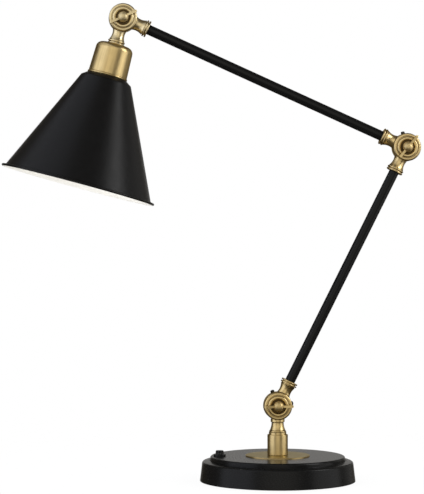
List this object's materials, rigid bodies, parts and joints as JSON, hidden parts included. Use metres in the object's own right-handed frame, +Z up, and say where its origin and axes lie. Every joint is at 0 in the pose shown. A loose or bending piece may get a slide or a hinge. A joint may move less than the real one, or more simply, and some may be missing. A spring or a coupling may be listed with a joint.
{
  "type": "adjustable desk lamp",
  "caption": "Desk lamp with a weighted round base, a swivel stem, tube arms on clamped brass knuckle joints and a conical metal shade.",
  "frame": {"origin": "centre of the felt's underside, on the table", "axes": "+Z up; +X to the right in the resting pose, where the elbow is; -Y towards the thumb screws and the viewer"},
  "size_m": [0.5231, 0.1948, 0.5943],
  "materials": {
    "black_powder_coat": "satin",
    "shade_enamel": "satin",
    "satin_brass": "satin",
    "cast_iron": "matte",
    "felt": "matte",
    "zinc_steel": "satin",
    "black_steel": "satin",
    "black_plastic": "satin",
    "fibre": "matte",
    "lead_sheath": "matte",
    "porcelain": "gloss",
    "contact_brass": "satin",
    "bulb_cap_metal": "satin",
    "bulb_glass": "satin"
  },
  "bodies": {
    "base": {"base_shell": "black_powder_coat", "base_weight": "cast_iron", "felt_pad": "felt", "base_nipple": "zinc_steel", "base_washer": "zinc_steel", "base_nut": "zinc_steel", "base_plate": "satin_brass", "column": "satin_brass", "swivel_screw": "black_steel", "cord_bush": "black_plastic", "switch_body": "black_plastic", "switch_nut": "black_plastic"},
    "knob": {"switch_shaft": "zinc_steel", "switch_knob": "black_plastic"},
    "stem": {"shoulder_front_knuckle": "satin_brass", "swivel_washer": "satin_brass", "shoulder_clamp_cup": "satin_brass"},
    "lower_arm": {"shoulder_rear_knuckle": "satin_brass", "shoulder_rim_screws": "black_steel", "shoulder_friction_washer": "fibre", "shoulder_cap_nut": "satin_brass", "lower_arm_tube": "black_powder_coat", "lower_arm_lead": "lead_sheath", "elbow_front_knuckle": "satin_brass", "elbow_clamp_cup": "satin_brass"},
    "upper_arm": {"elbow_rear_knuckle": "satin_brass", "elbow_rim_screw": "black_steel", "elbow_friction_washer": "fibre", "elbow_cap_nut": "satin_brass", "upper_arm_tube": "black_powder_coat", "upper_arm_lead": "lead_sheath", "head_front_knuckle": "satin_brass", "head_clamp_cup": "satin_brass"},
    "lamp_head": {"head_rear_knuckle": "satin_brass", "head_friction_washer": "fibre", "head_cap_nut": "satin_brass", "head_nipple": "zinc_steel", "head_nut": "zinc_steel", "socket_cup": "satin_brass", "lampholder": "porcelain", "screw_shell": "contact_brass", "centre_contact": "contact_brass", "shade": "shade_enamel", "shade_ring": "black_plastic", "bulb_cap": "bulb_cap_metal", "bulb_glass": "bulb_glass"},
    "shoulder_screw": {"shoulder_thumb_screw": "satin_brass"},
    "elbow_screw": {"elbow_thumb_screw": "satin_brass"},
    "head_screw": {"head_thumb_screw": "satin_brass"}
  },
  "joints": [
    {"name": "stem_swivel", "type": "hinge", "parent": "base", "child": "stem", "pos_m": [0, 0, 0.0583], "axis": [0, 0, 1], "range_deg": [-160, 160]},
    {"name": "shoulder_tilt", "type": "hinge", "parent": "stem", "child": "lower_arm", "pos_m": [0, 0, 0.094], "axis": [0, -1, 0], "range_deg": [-45, 50]},
    {"name": "elbow_bend", "type": "hinge", "parent": "lower_arm", "child": "upper_arm", "pos_m": [0.1626, 0, 0.41771], "axis": [0, 1, 0], "range_deg": [-26, 85]},
    {"name": "head_tilt", "type": "hinge", "parent": "upper_arm", "child": "lamp_head", "pos_m": [-0.19325, 0, 0.57681], "axis": [0, -1, 0], "range_deg": [-100, 19]},
    {"name": "switch_turn", "type": "hinge", "parent": "base", "child": "knob", "pos_m": [-0.07238, 0.00354, 0.036], "axis": [0, 0, 1], "continuous": true},
    {"name": "shoulder_clamp", "type": "hinge", "parent": "stem", "child": "shoulder_screw", "pos_m": [0, 0, 0.094], "axis": [0, -1, 0], "range_deg": [0, 270]},
    {"name": "elbow_clamp", "type": "hinge", "parent": "lower_arm", "child": "elbow_screw", "pos_m": [0.1626, 0, 0.41771], "axis": [0, -1, 0], "range_deg": [0, 270]},
    {"name": "head_clamp", "type": "hinge", "parent": "upper_arm", "child": "head_screw", "pos_m": [-0.19325, 0, 0.57681], "axis": [0, -1, 0], "range_deg": [0, 270]}
  ]
}
